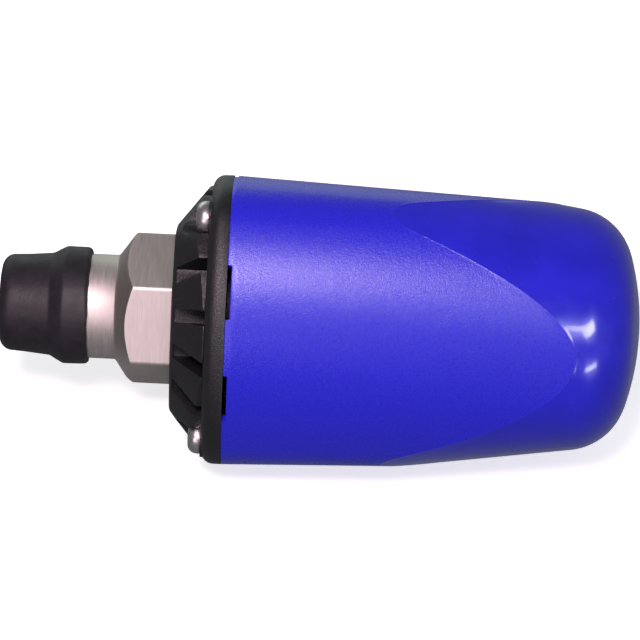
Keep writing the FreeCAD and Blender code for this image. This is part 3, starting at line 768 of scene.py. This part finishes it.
def make_absorber(name, node, inner, size, depth, look):
    """A soft sleeve with an uneven surface. Its lumps are about a size across and at most a depth."""
    low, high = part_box(node)
    line = absorber_line(low.x, high.x, inner, high.z, 1.2 * MM)

    def soft(rings):
        depths = lumps(rings.reshape(-1, 3), size, depth, 4)
        radii = np.linalg.norm(rings[:, :, 1:], axis=2).reshape(-1)
        return pushed_in(rings, np.where(radii > (inner + high.z) / 2, depths, -depths * 0.3))

    sleeve = lathe(name, line, np.arange(0, 360, 4.0), "muffler", frame_slot(node), node, shape=soft)
    sleeve.data.materials.append(look)


def make_end_pad():
    """A round foam pad with eased edges and a slightly crowned face."""
    low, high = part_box("end_pad")
    radius = high.z
    line = rounded([
        (low.x, 0),
        (low.x + 0.6 * MM, radius * 0.6),
        (low.x + 1.2 * MM, radius, 2.5 * MM),
        (high.x - 0.8 * MM, radius - 0.5 * MM, 2.5 * MM),
        (high.x, radius * 0.5),
        (high.x, 0),
    ])

    def soft(rings):
        return pushed_in(rings, lumps(rings.reshape(-1, 3), 4 * MM, 0.8 * MM, 5))

    pad = lathe("end_pad_foam", subdivided(line, 2.5 * MM), np.arange(0, 360, 4.0),
                "muffler", "foam", "end_pad", shape=soft)
    pad.data.materials.append(LOOKS["foam"])


# ---------------------------------------------------------------- the CAD nodes that stay

NODE_LOOKS = {
    "collar": ["collar"],
    "plated": ["screw_1", "screw_2", "screw_3", "lock_washer", "lock_nut", "end_nut"],
    "brass": ["insert_1", "insert_2", "insert_3"],
    "rubber": ["port_seal", "collar_seal"],
    "sheet": ["diffuser_tube", "baffle_sleeve", "rear_plate", "clamp_front", "clamp_rear"],
    "aluminium": ["diffuser_plug"],
    "anodised": ["front_ring", "exhaust_screen"],
}


EDGE_WIDTH = 0.35 * MM
EDGE_TURN = math.radians(32)           # edges that turn more than this are eased


def ease_edges(node):
    """Small rounded edges on a CAD node, so that they catch the light."""
    weld = node.modifiers.new("weld", "WELD")
    weld.merge_threshold = 0.002 * MM
    bevel = node.modifiers.new("edges", "BEVEL")
    bevel.width = EDGE_WIDTH
    bevel.segments = 2
    bevel.limit_method = "ANGLE"
    bevel.angle_limit = EDGE_TURN
    bevel.harden_normals = True
    bevel.use_clamp_overlap = True


def dress_nodes():
    for look, names in NODE_LOOKS.items():
        for name in names:
            node = bpy.data.objects[name]
            node.data.materials.clear()
            node.data.materials.append(LOOKS[look])


# ---------------------------------------------------------------- stage, light and camera

def make_floor():
    """A wide pale floor just under the object. It glows, so that the shadows on it stay faint."""
    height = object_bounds()[0][2] - 0.1 * MM
    half = 4
    mesh = bpy.data.meshes.new("floor")
    corners = [(-half, -half), (half, -half), (half, half), (-half, half)]
    mesh.from_pydata([(x, y, height) for x, y in corners], [], [(0, 1, 2, 3)])
    floor = bpy.data.objects.new("floor", mesh)
    floor.data.materials.append(LOOKS["floor"])
    bpy.context.scene.collection.objects.link(floor)
    floor.visible_diffuse = False
    floor.visible_glossy = False


def softbox(name, size, target, direction, distance, power, colour=(1, 1, 1)):
    """A rectangular light that faces a target from direction times distance away."""
    light = bpy.data.lights.new(name, "AREA")
    light.shape = "RECTANGLE"
    light.size, light.size_y = size
    light.energy = power
    light.color = colour
    item = bpy.data.objects.new(name, light)
    bpy.context.scene.collection.objects.link(item)
    place = target + Vector(direction) * distance
    item.location = place
    item.rotation_euler = (target - place).to_track_quat("-Z", "Y").to_euler()
    return item


PINKISH = (1, 0.79, 0.88)
GREENISH = (0.84, 1, 0.9)


def make_lights():
    """A pinkish key and fill, a greenish panel behind, cards that show only as reflections, and a side
    fill that never does."""
    dome = Vector((0.19, 0, 0))
    middle = Vector((0.1, 0, 0))
    softbox("overhead", (0.26, 0.2), middle, (-0.14, -0.5, 0.85), 0.9, 6.8, PINKISH)
    softbox("camera_fill", (0.8, 0.45), middle, (-0.3, -0.8, 0.34), 1.5, 4.2, PINKISH)
    softbox("back_panel", (1, 0.5), middle, (-0.45, 0.95, 0.25), 1.2, 2.2, GREENISH)
    cards = [
        softbox("dome_card", (0.28, 0.17), dome, (0.47, -0.61, 0.63), 0.9, 3.2),
        softbox("trail_card", (0.34, 0.16), dome, (0.06, -0.72, 0.69), 0.9, 0.3),
        softbox("low_card", (0.26, 0.06), dome, (0.54, -0.835, 0.09), 0.8, 1.1),
    ]
    for card in cards:
        card.visible_diffuse = False
    side = softbox("side_fill", (0.5, 0.5), dome, (0.85, -0.45, 0.3), 0.9, 1.6)
    side.visible_glossy = False
    rear = softbox("rear_card", (0.3, 0.09), middle, (-0.05, 0.22, 0), 1, 0.04, GREENISH)
    rear.visible_diffuse = False
    rear.visible_camera = False
    world = bpy.data.worlds.new("studio")
    world.use_nodes = True
    background = world.node_tree.nodes["Background"]
    background.inputs["Color"].default_value = (0.9, 0.94, 1, 1)
    background.inputs["Strength"].default_value = 0.21
    bpy.context.scene.world = world
    bpy.context.scene.view_settings.view_transform = "Standard"


CAMERA_RISE = math.radians(45.3)
CAMERA_ROLL = math.radians(2.79)
CAMERA_DISTANCE = 1.35
VIEW_WIDTH = 0.2368                    # metres across the picture at the object
VIEW_CENTRE = 94.8 * MM                # where along the axis the camera aims
VIEW_LIFT = 1.2 * MM                   # how far the object stands above the picture's middle
SENSOR_WIDTH = 36                      # millimetres


def make_camera():
    """The camera looks along +Y and down, and is rolled a little about its own line of sight."""
    level_up = Vector((0, math.sin(CAMERA_RISE), math.cos(CAMERA_RISE)))
    forward = Vector((0, math.cos(CAMERA_RISE), -math.sin(CAMERA_RISE)))
    right = Vector((1, 0, 0)) * math.cos(CAMERA_ROLL) + level_up * math.sin(CAMERA_ROLL)
    up = Vector((-1, 0, 0)) * math.sin(CAMERA_ROLL) + level_up * math.cos(CAMERA_ROLL)
    target = Vector((VIEW_CENTRE, 0, 0)) - up * VIEW_LIFT
    place = target - forward * CAMERA_DISTANCE
    data = bpy.data.cameras.new("camera")
    data.sensor_width = SENSOR_WIDTH
    data.lens = SENSOR_WIDTH * CAMERA_DISTANCE / VIEW_WIDTH
    camera = bpy.data.objects.new("camera", data)
    camera.matrix_world = Matrix((
        (right.x, up.x, -forward.x, place.x),
        (right.y, up.y, -forward.y, place.y),
        (right.z, up.z, -forward.z, place.z),
        (0, 0, 0, 1),
    ))
    bpy.context.scene.collection.objects.link(camera)
    bpy.context.scene.camera = camera


# ---------------------------------------------------------------- making everything

make_floor()
make_camera()
make_lights()
make_bell()
make_insert_bosses()
make_fitting()
make_cap()
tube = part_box("diffuser_tube")[1].z
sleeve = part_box("baffle_sleeve")[1].z
make_absorber("inner_felt", "inner_absorber", tube + 0.7 * MM, 7 * MM, 1.2 * MM, LOOKS["felt"])
make_absorber("outer_foam", "outer_absorber", sleeve + 4 * MM, 6 * MM, 1.5 * MM, LOOKS["foam"])
make_end_pad()
dress_nodes()
for name in ("collar", "screw_1", "screw_2", "screw_3"):
    ease_edges(bpy.data.objects[name])
